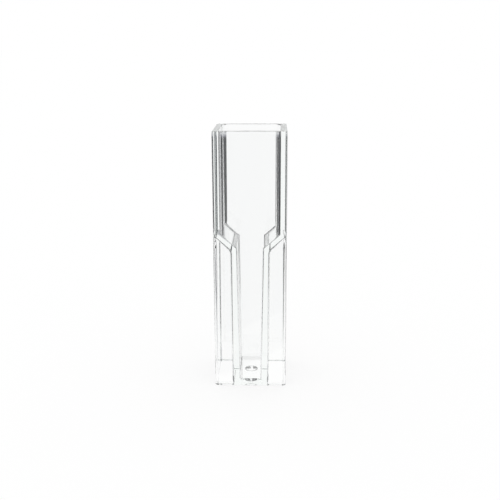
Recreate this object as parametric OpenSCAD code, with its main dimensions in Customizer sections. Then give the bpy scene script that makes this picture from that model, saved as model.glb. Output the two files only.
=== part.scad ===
// Semi-micro cuvette for a photometer, moulded in one piece of clear polystyrene.
// Millimetres, +Z up, origin at the centre of the foot. Light passes along Y, through the narrow
// chamber, and X is across it. The cup and the chamber open at the mouth. The pockets beside the
// chamber open at the foot, so that the mould's upper and lower cores draw apart along Z.

/* [Body] */
// Width and depth of the square body
body_w = 12.5; // [12.3:0.1:12.9]
// Height of the body, from the foot to the mouth
body_h = 45; // [42:1:50]
// Radius of the four upright outer corners
corner_r = 0.5; // [0.3:0.1:0.8]
// Radius of the outer edges round the foot
foot_r = 0.15; // [0.1:0.05:0.3]
// Radius of the outer edges round the mouth
lip_r = 0.15; // [0.05:0.05:0.25]

/* [Cup and chamber] */
// Light path, the distance between the two optical windows
light_path = 10; // [9.8:0.1:10.2]
// Width of the cup, across the light path
cup_w = 10.4; // [10:0.1:10.6]
// Radius of the upright corners inside the cup
cup_r = 0.9; // [0.5:0.1:1.1]
// Height at which the cup's slopes leave its side walls
slope_top_z = 27.4; // [25:0.2:30]
// Angle of the slopes below the horizontal
slope_angle = 41; // [34:1:46]
// Width of the chamber where the slopes end
chamber_top_w = 4.8; // [4.6:0.1:5.2]
// Width of the chamber at its floor
chamber_floor_w = 3.9; // [3.7:0.1:4.2]
// Radius of the upright corners inside the chamber
chamber_r = 0.2; // [0.1:0.05:0.4]
// Thickness of the chamber's floor
floor_t = 1.05; // [0.9:0.05:1.4]

/* [Pockets] */
// Thickness of the sloping wall between the cup and a pocket
slope_wall = 0.75; // [0.6:0.05:0.9]
// Thickness of the web between the chamber and a pocket, at the pocket's roof
web_top_t = 0.72; // [0.6:0.02:0.8]
// Thickness of the same web at the foot
web_foot_t = 1; // [0.9:0.05:1.1]
// Thickness of the outer side wall at the pocket's roof
side_top_t = 0.35; // [0.3:0.05:0.6]
// Thickness of the outer side wall at the foot
side_foot_t = 0.3; // [0.25:0.05:0.4]
// Depth of the pockets, along the light path
pocket_d = 10.1; // [9.8:0.1:10.4]
// Radius of the upright corners inside the pockets
pocket_r = 0.3; // [0.1:0.05:0.5]
// Radius where a pocket's roof turns down into the web
roof_r = 1.6; // [1:0.1:2]

/* [Gate mark] */
// Diameter of the round recess under the floor, where the mould was filled
gate_d = 2.3; // [1.6:0.1:3]
// Depth of the gate recess
gate_h = 0.65; // [0.4:0.05:0.7]
// Radius round the edge of its roof
gate_r = 0.35; // [0.1:0.05:0.35]

/* [Hidden] */

$fn = 96;
over = 1; // how far a core runs out past the face that it opens through

body_half = body_w / 2;
cup_half = cup_w / 2;

// The slope is a straight line in section, and a pocket's roof runs parallel to it.
function slope_z(x) = slope_top_z - (cup_half - x) * tan(slope_angle);
function roof_z(x) = slope_z(x) - slope_wall / cos(slope_angle);

// Corners of the section, as [x, z] on the +X side
chamber_foot = [chamber_floor_w / 2, floor_t];
slope_foot = [chamber_top_w / 2, slope_z(chamber_top_w / 2)];
web_foot = [chamber_floor_w / 2 + web_foot_t, 0];
web_top = [chamber_top_w / 2 + web_top_t, roof_z(chamber_top_w / 2 + web_top_t)];
side_foot = [body_half - side_foot_t, 0];
side_top = [body_half - side_top_t, roof_z(body_half - side_top_t)];

function lean_of(foot, top) = atan2(top[0] - foot[0], top[1] - foot[1]);

module both_sides() {
    children();
    mirror([1, 0, 0]) children();
}

// A section drawn across the body (x) and up (y), run along the light path for a length
module along_path(length) {
    rotate([90, 0, 0]) linear_extrude(length, center = true) children();
}

// Rectangle with rounded corners, centred on the origin
module rounded_rect(w, d, r) {
    square([w - 2 * r, d], center = true);
    square([w, d - 2 * r], center = true);
    for (x = [-1, 1], y = [-1, 1])
        translate([x * (w / 2 - r), y * (d / 2 - r)]) circle(r);
}

// What a round of radius r trims off a corner whose two sides leave it at angles a and b
module round_at(corner, a, b, r) {
    half = (b - a) / 2;
    reach = r / tan(half);
    centre = corner + r / sin(half) * [cos(a + half), sin(a + half)];
    difference() {
        polygon([
            corner,
            corner + reach * [cos(a), sin(a)],
            centre,
            corner + reach * [cos(b), sin(b)]
        ]);
        translate(centre) circle(r);
    }
}

// A core whose +X side leans from foot to top, with the two upright corners of that side rounded.
// It reaches in past the far side of the hollow, and runs out past both of its ends.
module leaning_core(foot, top, depth, r) {
    translate([foot[0], 0, foot[1]])
        rotate([0, lean_of(foot, top), 0])
            translate([0, 0, -over])
                linear_extrude(norm(top - foot) + 2 * over) {
                    translate([-body_w, -depth / 2]) square([body_w - r, depth]);
                    translate([-body_w, r - depth / 2]) square([body_w, depth - 2 * r]);
                    for (y = [-1, 1])
                        translate([-r, y * (depth / 2 - r)]) circle(r);
                }
}

// The body's outline from the front and from the side, rounded at the foot and at the mouth
module outline() {
    difference() {
        translate([-body_half, 0]) square([body_w, body_h]);
        both_sides() {
            round_at([body_half, 0], 90, 180, foot_r);
            round_at([body_half, body_h], 180, 270, lip_r);
        }
    }
}

module outer_block() {
    intersection() {
        linear_extrude(body_h) rounded_rect(body_w, body_w, corner_r);
        along_path(body_w) outline();
        rotate([0, 0, 90]) along_path(body_w) outline();
    }
}

// Section of the cup, down to where the planes of its two slopes meet
module cup_section() {
    polygon([
        [0, slope_z(0)],
        [cup_half + over, slope_z(cup_half + over)],
        [cup_half + over, body_h + over],
        [-cup_half - over, body_h + over],
        [-cup_half - over, slope_z(cup_half + over)]
    ]);
}

module cup() {
    intersection() {
        along_path(body_w) cup_section();
        linear_extrude(body_h + over) rounded_rect(cup_w, light_path, cup_r);
    }
}

// The chamber runs up from its floor into the cup.
module chamber() {
    intersection() {
        translate([0, 0, floor_t]) linear_extrude(body_h) square(body_w, center = true);
        leaning_core(chamber_foot, slope_foot, light_path, chamber_r);
        mirror([1, 0, 0]) leaning_core(chamber_foot, slope_foot, light_path, chamber_r);
    }
}

// Section of the pocket on the +X side: the web, the roof, and the round that joins them
module pocket_section() {
    lean = lean_of(web_foot, web_top);
    reach = roof_r * tan((90 - lean - slope_angle) / 2);
    web_end = web_top - reach * [sin(lean), cos(lean)];
    roof_start = web_top + reach * [cos(slope_angle), sin(slope_angle)];
    polygon([
        web_foot, web_end, roof_start,
        [body_half, roof_z(body_half)], [body_half, -over], [web_foot[0], -over]
    ]);
    translate(roof_start + roof_r * [sin(slope_angle), -cos(slope_angle)]) circle(roof_r);
}

module pocket() {
    intersection() {
        along_path(body_w) pocket_section();
        leaning_core(side_foot, side_top, pocket_d, pocket_r);
    }
}

module gate_recess() {
    rotate_extrude() {
        translate([0, -over]) square([gate_d / 2, gate_h - gate_r + over]);
        square([gate_d / 2 - gate_r, gate_h]);
        translate([gate_d / 2 - gate_r, gate_h - gate_r]) circle(gate_r);
    }
}

module cuvette() {
    color("aliceblue")
    difference() {
        outer_block();
        cup();
        chamber();
        both_sides() pocket();
        gate_recess();
    }
}

cuvette();
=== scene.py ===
from math import cos, pi, radians, sin, sqrt, tan

import bmesh
import bpy
from mathutils import Matrix, Vector
from mathutils.geometry import tessellate_polygon


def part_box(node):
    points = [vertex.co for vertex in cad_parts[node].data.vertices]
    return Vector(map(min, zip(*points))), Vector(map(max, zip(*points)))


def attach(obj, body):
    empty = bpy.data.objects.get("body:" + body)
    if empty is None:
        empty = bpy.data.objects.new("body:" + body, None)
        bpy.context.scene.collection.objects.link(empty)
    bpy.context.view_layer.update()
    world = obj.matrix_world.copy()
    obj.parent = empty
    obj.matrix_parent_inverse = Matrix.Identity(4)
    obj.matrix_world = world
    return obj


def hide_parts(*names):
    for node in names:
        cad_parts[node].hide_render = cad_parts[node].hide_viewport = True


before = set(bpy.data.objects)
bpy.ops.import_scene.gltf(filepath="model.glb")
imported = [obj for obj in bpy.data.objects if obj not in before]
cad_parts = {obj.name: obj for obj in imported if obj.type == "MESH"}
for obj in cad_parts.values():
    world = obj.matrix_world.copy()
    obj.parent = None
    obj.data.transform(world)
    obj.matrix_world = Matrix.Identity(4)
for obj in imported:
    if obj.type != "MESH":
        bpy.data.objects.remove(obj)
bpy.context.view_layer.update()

# The cuvette's own sizes, in millimetres, with Z up and the origin at the centre of the foot.
# Light passes along Y. The outer sizes come from the CAD node, and the others are the CAD's values.
# Where a round says "here only", the CAD has a sharp edge.
MM = 0.001
node_low, node_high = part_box("cuvette")
BODY_W = (node_high.x - node_low.x) / MM
BODY_H = (node_high.z - node_low.z) / MM
BODY_HALF = BODY_W / 2
CORNER_R = 0.5
FOOT_R = 0.15
LIP_R = 0.15

LIGHT_PATH = 10.0
CUP_W = 10.4
CUP_R = 0.9
MOUTH_R = 0.12         # here only
SLOPE_TOP_Z = 27.4
SLOPE_ANGLE = radians(41)
CHAMBER_TOP_W = 4.8
CHAMBER_FLOOR_W = 3.9
CHAMBER_R = 0.2        # the upright corners and, here only, the corners along the slopes
FLOOR_T = 1.05
FLOOR_R = 0.06         # here only
SLOPE_TOP_R = 0.35     # here only
SLOPE_FOOT_R = 0.2     # here only

SLOPE_WALL = 0.75
WEB_TOP_T = 0.72
WEB_FOOT_T = 1.0
SIDE_TOP_T = 0.35
SIDE_FOOT_T = 0.3
POCKET_D = 10.1
POCKET_R = 0.3         # here only: the corners at the web and at the roof
POCKET_WALL_R = 0.3    # the upright corners at the outer side wall
ROOF_R = 1.6
ROOF_PEAK_R = 0.12     # here only
POCKET_EDGE_R = 0.03   # here only

GATE_D = 2.3
GATE_H = 0.65
GATE_R = 0.35
GATE_EDGE_R = 0.03     # here only

CORNER_STEPS = 12      # points round each upright corner, less one
ROUND_STEPS = 8        # steps across each rounded edge
PEAK_STEPS = 16        # steps over the round peak of a pocket's roof
GATE_POINTS = 64       # points round the gate
GATE_EDGE_STEPS = 4
GATE_ROOF_STEPS = 16
MERGE_AT = 1e-5        # points this close become one
DROP_BELOW = 1e-6      # edges shorter than this are taken out


# ---------------------------------------------------------------- the moulding's mesh

class Shell:
    """The points and faces of one closed mesh, gathered ring by ring."""

    def __init__(self):
        self.points = []
        self.faces = []

    def add(self, points):
        """Keeps a ring of points and returns their numbers."""
        first = len(self.points)
        self.points.extend(points)
        return list(range(first, first + len(points)))

    def loft(self, ring_a, ring_b):
        """Joins two rings of the same number of points with four-sided faces."""
        count = len(ring_a)
        for i in range(count):
            j = (i + 1) % count
            self.faces.append((ring_a[i], ring_a[j], ring_b[j], ring_b[i]))

    def loft_all(self, rings):
        for ring_a, ring_b in zip(rings, rings[1:]):
            self.loft(ring_a, ring_b)

    def fill(self, *loops):
        """Closes the flat face inside the first loop and outside the others."""
        numbers = [n for loop in loops for n in loop]
        outlines = [[Vector(self.points[n]) for n in loop] for loop in loops]
        for corners in tessellate_polygon(outlines):
            self.faces.append(tuple(numbers[c] for c in corners))


def rounded_ring(x_low, x_high, half_y, low, high, z):
    """A level rectangle with rounded corners. low and high are the corners' reach (along x, along y)
    at the x_low and x_high ends, and the two ends' corners shrink together where they would meet."""
    reach = low[0] + high[0]
    squeeze = min(1, (x_high - x_low) / reach)
    points = []
    for side_x, side_y, start in ((1, 1, 0), (-1, 1, 90), (-1, -1, 180), (1, -1, 270)):
        rx, ry = high if side_x > 0 else low
        rx *= squeeze
        centre_x = x_high - rx if side_x > 0 else x_low + rx
        centre_y = side_y * (half_y - ry)
        for step in range(CORNER_STEPS + 1):
            angle = radians(start + 90 * step / CORNER_STEPS)
            points.append((centre_x + rx * cos(angle), centre_y + ry * sin(angle), z))
    return points


def quarter(radius, steps=ROUND_STEPS):
    """Steps round a quarter circle that turns from flat to upright, as (still to go out, up)."""
    for step in range(steps + 1):
        angle = pi / 2 * step / steps
        yield radius * (1 - sin(angle)), radius * (1 - cos(angle))


def rounded_path(corners):
    """The points of a path through (x, z) corners, each rounded to its radius. Returns (x, z,
    steepness), where steepness is the sine of the path's angle to the horizontal there."""
    points = []
    for i, (x, z, radius) in enumerate(corners):
        corner = Vector((x, z))
        if radius == 0:
            other = Vector(corners[i - 1 if i > 0 else 1][:2])
            points.append((x, z, abs((other - corner).normalized().y)))
            continue
        back = (Vector(corners[i - 1][:2]) - corner).normalized()
        ahead = (Vector(corners[i + 1][:2]) - corner).normalized()
        half_angle = back.angle(ahead) / 2
        centre = corner + (back + ahead).normalized() * radius / sin(half_angle)
        start = corner + back * radius / tan(half_angle) - centre
        end = corner + ahead * radius / tan(half_angle) - centre
        turn = start.angle(end)
        for step in range(ROUND_STEPS + 1):
            share = step / ROUND_STEPS
            arm = (sin((1 - share) * turn) * start + sin(share * turn) * end) / sin(turn)
            tangent = Vector((-arm.y, arm.x)).normalized()
            points.append((centre.x + arm.x, centre.y + arm.y, abs(tangent.y)))
    return points


def slope_z(x):
    return SLOPE_TOP_Z - (CUP_W / 2 - x) * tan(SLOPE_ANGLE)


def roof_z(x):
    return slope_z(x) - SLOPE_WALL / cos(SLOPE_ANGLE)


def outer_rings(shell):
    """The outside, from the foot up, with its edges rounded at the foot and at the mouth."""
    def ring(inset, z):
        reach = CORNER_R - inset
        half = BODY_HALF - inset
        return shell.add(rounded_ring(-half, half, half, (reach, reach), (reach, reach), z))

    foot = [ring(inset, up) for inset, up in quarter(FOOT_R)]
    lip = [ring(inset, BODY_H - up) for inset, up in quarter(LIP_R)]
    return foot + lip[::-1]


def cup_corner(x, steepness):
    """Reach of the hollow's corners where its half width is x: the cup's large corner fades into
    the slope, and further in they have the chamber's radius, seen along the slope."""
    into_corner = x - (CUP_W / 2 - CUP_R)
    small = (CHAMBER_R / steepness, CHAMBER_R)
    if into_corner <= 0:
        return small
    left = CUP_R - sqrt(max(0, CUP_R ** 2 - into_corner ** 2))
    return max(into_corner, small[0]), max(left, small[1])


def cup_rings(shell):
    """The cup, its slopes and the chamber, from the mouth down to the edge of the chamber's floor."""
    def ring(x, half_y, reach, z):
        return shell.add(rounded_ring(-x, x, half_y, reach, reach, z))

    half_y = LIGHT_PATH / 2
    half_w = CUP_W / 2
    rings = []
    for out, down in quarter(MOUTH_R):
        reach = (CUP_R + out, CUP_R + out)
        rings.append(ring(half_w + out, half_y + out, reach, BODY_H - down))

    slope_foot = CHAMBER_TOP_W / 2
    floor_edge = CHAMBER_FLOOR_W / 2
    path = rounded_path([
        (half_w, BODY_H - MOUTH_R, 0),
        (half_w, SLOPE_TOP_Z, SLOPE_TOP_R),
        (half_w - CUP_R / 2, slope_z(half_w - CUP_R / 2), 0),
        (half_w - CUP_R, slope_z(half_w - CUP_R), 0),
        (slope_foot, slope_z(slope_foot), SLOPE_FOOT_R),
        (floor_edge, FLOOR_T + FLOOR_R, 0),
    ])
    for x, z, steepness in path[1:]:
        rings.append(ring(x, half_y, cup_corner(x, steepness), z))
    for out, down in reversed(list(quarter(FLOOR_R))[:-1]):
        reach = CHAMBER_R - FLOOR_R + out
        rings.append(ring(floor_edge - FLOOR_R + out, half_y - FLOOR_R + out, (reach, reach),
                          FLOOR_T + down))
    return rings


def pocket_rings(shell, side):
    """A pocket, from its rounded edge at the foot up to the peak of its roof."""
    web_foot = CHAMBER_FLOOR_W / 2 + WEB_FOOT_T
    web_top = CHAMBER_TOP_W / 2 + WEB_TOP_T
    wall_foot = BODY_HALF - SIDE_FOOT_T
    wall_top = BODY_HALF - SIDE_TOP_T
    peak_z = roof_z(wall_top)
    half_y = POCKET_D / 2

    def wall_x(z):
        return wall_foot + (wall_top - wall_foot) * z / peak_z

    def ring(x_low, x_high, y, low, high, z):
        points = rounded_ring(x_low, x_high, y, low, high, z)
        return shell.add([(side * px, py, pz) for px, py, pz in points])

    rings = []
    for out, up in quarter(POCKET_EDGE_R):
        web_corner = (POCKET_R + out, POCKET_R + out)
        wall_corner = (POCKET_WALL_R + out, POCKET_WALL_R + out)
        rings.append(ring(web_foot - out, wall_x(0) + out, half_y + out, web_corner, wall_corner, up))

    # The peak is round: its arc touches the wall at the arc's centre height and the roof higher up.
    peak = Vector((wall_top - ROOF_PEAK_R, 0))
    peak.y = roof_z(peak.x) - ROOF_PEAK_R / cos(SLOPE_ANGLE)
    roof_end = peak + ROOF_PEAK_R * Vector((-sin(SLOPE_ANGLE), cos(SLOPE_ANGLE)))
    path = rounded_path([
        (web_foot, POCKET_EDGE_R, 0),
        (web_top, roof_z(web_top), ROOF_R),
        (peak.x - ROOF_PEAK_R, roof_z(peak.x - ROOF_PEAK_R), 0),
    ])
    wall_corner = (POCKET_WALL_R, POCKET_WALL_R)
    for x, z, steepness in path[1:-1]:
        rings.append(ring(x, wall_x(z), half_y, (POCKET_R / steepness, POCKET_R), wall_corner, z))
    roof_corner = (POCKET_R / sin(SLOPE_ANGLE), POCKET_R)
    for step in range(PEAK_STEPS + 1):
        angle = pi / 2 * step / PEAK_STEPS
        z = peak.y + ROOF_PEAK_R * sin(angle)
        across = ROOF_PEAK_R * cos(angle)
        x_low = peak.x - across
        if z < roof_end.y:
            x_low = peak.x - ROOF_PEAK_R - (roof_z(peak.x - ROOF_PEAK_R) - z) / tan(SLOPE_ANGLE)
        rings.append(ring(x_low, peak.x + across, half_y, roof_corner, wall_corner, z))
    return rings


def gate_rings(shell):
    """The round gate recess under the floor, from its edge up to its roof, which is rounded too."""
    def circle(radius, z):
        turns = [2 * pi * i / GATE_POINTS for i in range(GATE_POINTS)]
        return shell.add([(radius * cos(t), radius * sin(t), z) for t in turns])

    radius = GATE_D / 2
    edge = quarter(GATE_EDGE_R, GATE_EDGE_STEPS)
    roof = reversed(list(quarter(GATE_R, GATE_ROOF_STEPS)))
    rings = [circle(radius + out, up) for out, up in edge]
    rings += [circle(radius - out, GATE_H - down) for out, down in roof]
    return rings


def steady_normals(mesh):
    """Each point's normal, with every face round it counted by the square of its area, so that the
    large flat faces stay flat and only the narrow rounded edges between them turn."""
    normals = [Vector() for _ in mesh.vertices]
    for face in mesh.polygons:
        for v in face.vertices:
            normals[v] += face.normal * face.area ** 2
    return [n.normalized() for n in normals]


def build_cuvette():
    """The whole moulding as one closed mesh, in metres."""
    shell = Shell()
    outside = outer_rings(shell)
    cup = cup_rings(shell)
    pockets = [pocket_rings(shell, side) for side in (-1, 1)]
    gate = gate_rings(shell)
    for rings in (outside, cup, gate, *pockets):
        shell.loft_all(rings)
    shell.loft(outside[-1], cup[0])
    shell.fill(cup[-1])
    shell.fill(gate[-1])
    shell.fill(outside[0], gate[0], *(rings[0] for rings in pockets))

    mesh = bpy.data.meshes.new("cuvette_moulding")
    mesh.from_pydata([Vector(p) for p in shell.points], [], shell.faces)
    work = bmesh.new()
    work.from_mesh(mesh)
    bmesh.ops.remove_doubles(work, verts=work.verts, dist=MERGE_AT)
    bmesh.ops.dissolve_degenerate(work, edges=work.edges, dist=DROP_BELOW)
    bmesh.ops.recalc_face_normals(work, faces=work.faces)
    work.to_mesh(mesh)
    work.free()
    mesh.transform(Matrix.Scale(MM, 4))
    for face in mesh.polygons:
        face.use_smooth = True
    mesh.normals_split_custom_set_from_vertices(steady_normals(mesh))
    piece = bpy.data.objects.new("cuvette_moulding", mesh)
    bpy.context.scene.collection.objects.link(piece)
    return piece


# ---------------------------------------------------------------- materials

FLOW_SCALE = 160.0               # waves to the metre, across the flow
FLOW_STRETCH = (1.0, 1.0, 0.45)  # the waves are drawn out along the flow, which is upright
FLOW_DETAIL = 2.0
WAVE_HEIGHT = 0.000002           # metres
TINT_THICK = (0.994, 0.998, 0.996, 1.0)
TINT_THIN = (1.0, 1.0, 1.0, 1.0)
POLYSTYRENE_IOR = 1.59
ABSORB_COLOUR = (0.80, 0.88, 0.84, 1.0)
ABSORB_DENSITY = 20.0


class Nodes:
    """A node tree, with short calls for the nodes used here."""

    def __init__(self, owner):
        owner.use_nodes = True
        self.tree = owner.node_tree
        self.tree.nodes.clear()

    def add(self, kind, **settings):
        node = self.tree.nodes.new(kind)
        for name, value in settings.items():
            setattr(node, name, value)
        return node

    def set(self, socket, value):
        if hasattr(value, "node"):
            self.tree.links.new(value, socket)
        else:
            socket.default_value = value

    def math(self, operation, *values):
        node = self.add("ShaderNodeMath", operation=operation)
        for socket, value in zip(node.inputs, values):
            self.set(socket, value)
        return node.outputs[0]

    def fade(self, value, start, end, at_start, at_end):
        """A smooth change from at_start to at_end as value goes from start to end."""
        node = self.add("ShaderNodeMapRange", interpolation_type="SMOOTHSTEP")
        for socket, number in zip(node.inputs, (value, start, end, at_start, at_end)):
            self.set(socket, number)
        return node.outputs[0]

    def mix(self, factor, at_zero, at_one):
        node = self.add("ShaderNodeMix", data_type="FLOAT")
        self.set(node.inputs["Factor"], factor)
        self.set(node.inputs[2], at_zero)
        self.set(node.inputs[3], at_one)
        return node.outputs[0]


def clear_polystyrene():
    """Clear plastic, polished as moulded. The melt's flow from the gate leaves the walls faintly wavy
    and faintly uneven in tint."""
    material = bpy.data.materials.new("clear_polystyrene")
    nodes = Nodes(material)
    place = nodes.add("ShaderNodeTexCoord").outputs["Object"]
    stretch = nodes.add("ShaderNodeMapping")
    nodes.set(stretch.inputs["Vector"], place)
    stretch.inputs["Scale"].default_value = FLOW_STRETCH
    flow = nodes.add("ShaderNodeTexNoise")
    nodes.set(flow.inputs["Vector"], stretch.outputs[0])
    flow.inputs["Scale"].default_value = FLOW_SCALE
    flow.inputs["Detail"].default_value = FLOW_DETAIL
    waves = nodes.add("ShaderNodeBump")
    waves.inputs["Distance"].default_value = WAVE_HEIGHT
    nodes.set(waves.inputs["Height"], flow.outputs["Fac"])

    tint = nodes.add("ShaderNodeMix", data_type="RGBA")
    nodes.set(tint.inputs["Factor"], flow.outputs["Fac"])
    tint.inputs[6].default_value = TINT_THICK
    tint.inputs[7].default_value = TINT_THIN

    shader = nodes.add("ShaderNodeBsdfPrincipled")
    nodes.set(shader.inputs["Base Color"], tint.outputs[2])
    shader.inputs["Roughness"].default_value = 0.0
    shader.inputs["IOR"].default_value = POLYSTYRENE_IOR
    shader.inputs["Transmission Weight"].default_value = 1.0
    nodes.set(shader.inputs["Normal"], waves.outputs[0])
    absorb = nodes.add("ShaderNodeVolumeAbsorption")
    absorb.inputs["Color"].default_value = ABSORB_COLOUR
    absorb.inputs["Density"].default_value = ABSORB_DENSITY
    output = nodes.add("ShaderNodeOutputMaterial")
    nodes.tree.links.new(shader.outputs[0], output.inputs["Surface"])
    nodes.tree.links.new(absorb.outputs[0], output.inputs["Volume"])
    return material


# ---------------------------------------------------------------- studio

# The camera sees white all round. Clear plastic is shown by what stands round it, so rays that it
# bends or mirrors see a set: straight behind the cuvette a narrow white backdrop, at both sides black
# flags that draw its edges as dark lines, and behind the camera a grey room. Wide white paper closes
# the far floor and the foot of the wall. A pair of angles says, in degrees off straight behind, where
# a change starts and ends.
STRAIGHT_BEHIND = 90       # the direction behind the cuvette, in degrees from +X
BACKDROP_EDGE = (7, 9)
PAPER_EDGE = (45, 50)
PAPER_FROM = (0.35, 0.40)  # metres from the cuvette where the floor's paper starts
PAPER_TOP = (5, 7)         # degrees up where it ends on the wall
FLAG_LEVEL = 0.0
FLAG_END = (85, 130)
ROOM_LEVEL = 0.7
PANELS = ((135, 7), (180, 5), (-45, 7))  # white panels for the other sides: direction, half width
PANEL_SOFT = 1.5           # degrees over which a panel's edge fades
STRIP_HALF = 0.009         # metres: the whites start on the floor as wide as the cuvette's diagonal
COOL = (1.0, 0.985, 0.92)  # powers that turn a grey level into a cool grey, and leave white and black
FLOOR_HALF = 3.0
FLOOR_Z = -0.00005         # just under the foot, so that the two faces don't fight
FLOOR_SHADOW = 0.15        # the share of the floor's white that comes from light and can be shaded
FLOOR_WHITE = (1.0, 1.0, 1.0, 1.0)


def off_angle(nodes, x, y, strip, direction):
    """The degrees between a direction and a point or ray x, y. On the floor, points on the strip in
    front of the cuvette count as straight ahead."""
    turn = radians(direction)
    along = nodes.math("ADD", nodes.math("MULTIPLY", x, cos(turn)),
                       nodes.math("MULTIPLY", y, sin(turn)))
    across = nodes.math("ADD", nodes.math("MULTIPLY", x, -sin(turn)),
                        nodes.math("MULTIPLY", y, cos(turn)))
    beyond = nodes.math("SUBTRACT", nodes.math("ABSOLUTE", across), strip)
    angle = nodes.math("ARCTAN2", nodes.math("MAXIMUM", beyond, 0.0),
                       nodes.math("ADD", along, strip))
    return nodes.math("MULTIPLY", angle, 180 / pi)


def round_set(nodes, angle, white_edge):
    """The level at an angle off straight behind: white, then the flags, then the room."""
    white = nodes.fade(angle, *white_edge, 1.0, FLAG_LEVEL)
    return nodes.math("ADD", white, nodes.fade(angle, *FLAG_END, 0.0, ROOM_LEVEL - FLAG_LEVEL))


def with_panels(nodes, x, y, strip, level):
    """The level, or white where one of the panels for the other sides stands."""
    for direction, half in PANELS:
        angle = off_angle(nodes, x, y, strip, direction)
        lit = nodes.fade(angle, half, half + PANEL_SOFT, 1.0, 0.0)
        level = nodes.math("MAXIMUM", level, lit)
    return level


def walls(nodes, x, y, height):
    """What the plastic shows of the walls of the room, in a direction x, y, these degrees up."""
    angle = off_angle(nodes, x, y, 0.0, STRAIGHT_BEHIND)
    level = nodes.mix(nodes.fade(height, *PAPER_TOP, 0.0, 1.0), round_set(nodes, angle, PAPER_EDGE),
                      round_set(nodes, angle, BACKDROP_EDGE))
    return with_panels(nodes, x, y, 0.0, level)


def ground(nodes, x, y, distance):
    """What the plastic shows of the floor, at x, y and this distance from the cuvette."""
    angle = off_angle(nodes, x, y, STRIP_HALF, STRAIGHT_BEHIND)
    level = nodes.mix(nodes.fade(distance, *PAPER_FROM, 0.0, 1.0),
                      round_set(nodes, angle, BACKDROP_EDGE), round_set(nodes, angle, PAPER_EDGE))
    return with_panels(nodes, x, y, STRIP_HALF, level)


def seen_through_glass(nodes):
    """1 for rays that the clear plastic bends or mirrors, 0 for the others."""
    path = nodes.add("ShaderNodeLightPath")
    return nodes.math("MAXIMUM", path.outputs["Is Transmission Ray"], path.outputs["Is Glossy Ray"])


def room_colour(nodes, level):
    """The room's colour: white, or a cool grey of this level for rays the plastic bends or mirrors."""
    shade = nodes.mix(seen_through_glass(nodes), 1.0, level)
    colour = nodes.add("ShaderNodeCombineColor")
    for socket, power in zip(colour.inputs, COOL):
        nodes.set(socket, nodes.math("POWER", shade, power))
    return colour.outputs[0]


def make_world():
    world = bpy.data.worlds.new("studio")
    bpy.context.scene.world = world
    nodes = Nodes(world)
    direction = nodes.add("ShaderNodeTexCoord").outputs["Generated"]
    parts = nodes.add("ShaderNodeSeparateXYZ")
    nodes.set(parts.inputs[0], direction)
    height = nodes.math("MULTIPLY", nodes.math("ARCSINE", parts.outputs["Z"]), 180 / pi)
    level = walls(nodes, parts.outputs["X"], parts.outputs["Y"], height)
    background = nodes.add("ShaderNodeBackground")
    nodes.set(background.inputs["Color"], room_colour(nodes, level))
    output = nodes.add("ShaderNodeOutputWorld")
    nodes.tree.links.new(background.outputs[0], output.inputs["Surface"])


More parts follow.
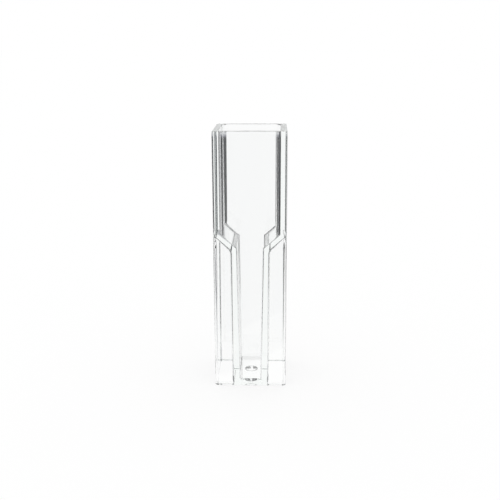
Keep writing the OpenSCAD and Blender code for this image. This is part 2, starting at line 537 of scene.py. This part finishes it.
def make_floor():
    """A white floor. Its glow is the white, or the set's level for rays from the plastic, and a share
    of it is lit paper that takes the cuvette's shadow."""
    mesh = bpy.data.meshes.new("floor")
    corners = [(x * FLOOR_HALF, y * FLOOR_HALF, FLOOR_Z)
               for x, y in ((-1, -1), (1, -1), (1, 1), (-1, 1))]
    mesh.from_pydata(corners, [], [(0, 1, 2, 3)])
    floor = bpy.data.objects.new("floor", mesh)
    bpy.context.scene.collection.objects.link(floor)
    material = bpy.data.materials.new("floor_white")
    nodes = Nodes(material)
    place = nodes.add("ShaderNodeNewGeometry").outputs["Position"]
    parts = nodes.add("ShaderNodeSeparateXYZ")
    nodes.set(parts.inputs[0], place)
    distance = nodes.add("ShaderNodeVectorMath", operation="LENGTH")
    nodes.set(distance.inputs[0], place)
    level = ground(nodes, parts.outputs["X"], parts.outputs["Y"], distance.outputs["Value"])
    glow = nodes.add("ShaderNodeEmission")
    nodes.set(glow.inputs["Color"], room_colour(nodes, level))
    paper = nodes.add("ShaderNodeBsdfDiffuse")
    paper.inputs["Color"].default_value = FLOOR_WHITE
    lit = nodes.math("SUBTRACT", 1.0, seen_through_glass(nodes))
    surface = nodes.add("ShaderNodeMixShader")
    nodes.set(surface.inputs[0], nodes.math("MULTIPLY", lit, FLOOR_SHADOW))
    nodes.set(surface.inputs[1], glow.outputs[0])
    nodes.set(surface.inputs[2], paper.outputs[0])
    output = nodes.add("ShaderNodeOutputMaterial")
    nodes.tree.links.new(surface.outputs[0], output.inputs["Surface"])
    mesh.materials.append(material)


# The camera stands in front of the cuvette, a little to its right, and looks down at it. It was
# matched to lines of the photograph. Its place is in millimetres and its turns are in radians.
CAMERA_AT = Vector((4.40, -135.88, 59.88))
CAMERA_DOWN = 0.2629
CAMERA_LEFT = 0.0337
CAMERA_ROLL = -0.0039
FOCAL_PIXELS = 791.0
PICTURE_PIXELS = 500
SENSOR = 36.0
NEAREST_SEEN = 0.001  # metres


def make_camera():
    ahead = Vector((-sin(CAMERA_LEFT) * cos(CAMERA_DOWN), cos(CAMERA_LEFT) * cos(CAMERA_DOWN),
                    -sin(CAMERA_DOWN)))
    level_right = Vector((cos(CAMERA_LEFT), sin(CAMERA_LEFT), 0))
    level_up = level_right.cross(ahead)
    right = cos(CAMERA_ROLL) * level_right + sin(CAMERA_ROLL) * level_up
    up = right.cross(ahead)
    data = bpy.data.cameras.new("camera")
    data.sensor_width = SENSOR
    data.lens = FOCAL_PIXELS / PICTURE_PIXELS * SENSOR
    data.clip_start = NEAREST_SEEN
    camera = bpy.data.objects.new("camera", data)
    turn = Matrix((right, up, -ahead)).transposed()
    camera.matrix_world = Matrix.Translation(CAMERA_AT * MM) @ turn.to_4x4()
    bpy.context.scene.collection.objects.link(camera)
    bpy.context.scene.camera = camera


THROUGH_BOUNCES = 32  # clear walls pass light on many times before it leaves
MIRROR_BOUNCES = 16

scene = bpy.context.scene
scene.view_settings.view_transform = "Standard"
scene.cycles.max_bounces = THROUGH_BOUNCES
scene.cycles.transmission_bounces = THROUGH_BOUNCES
scene.cycles.glossy_bounces = MIRROR_BOUNCES

cuvette = build_cuvette()
cuvette.data.materials.append(clear_polystyrene())
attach(cuvette, "root")
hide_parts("cuvette")
make_world()
make_floor()
make_camera()
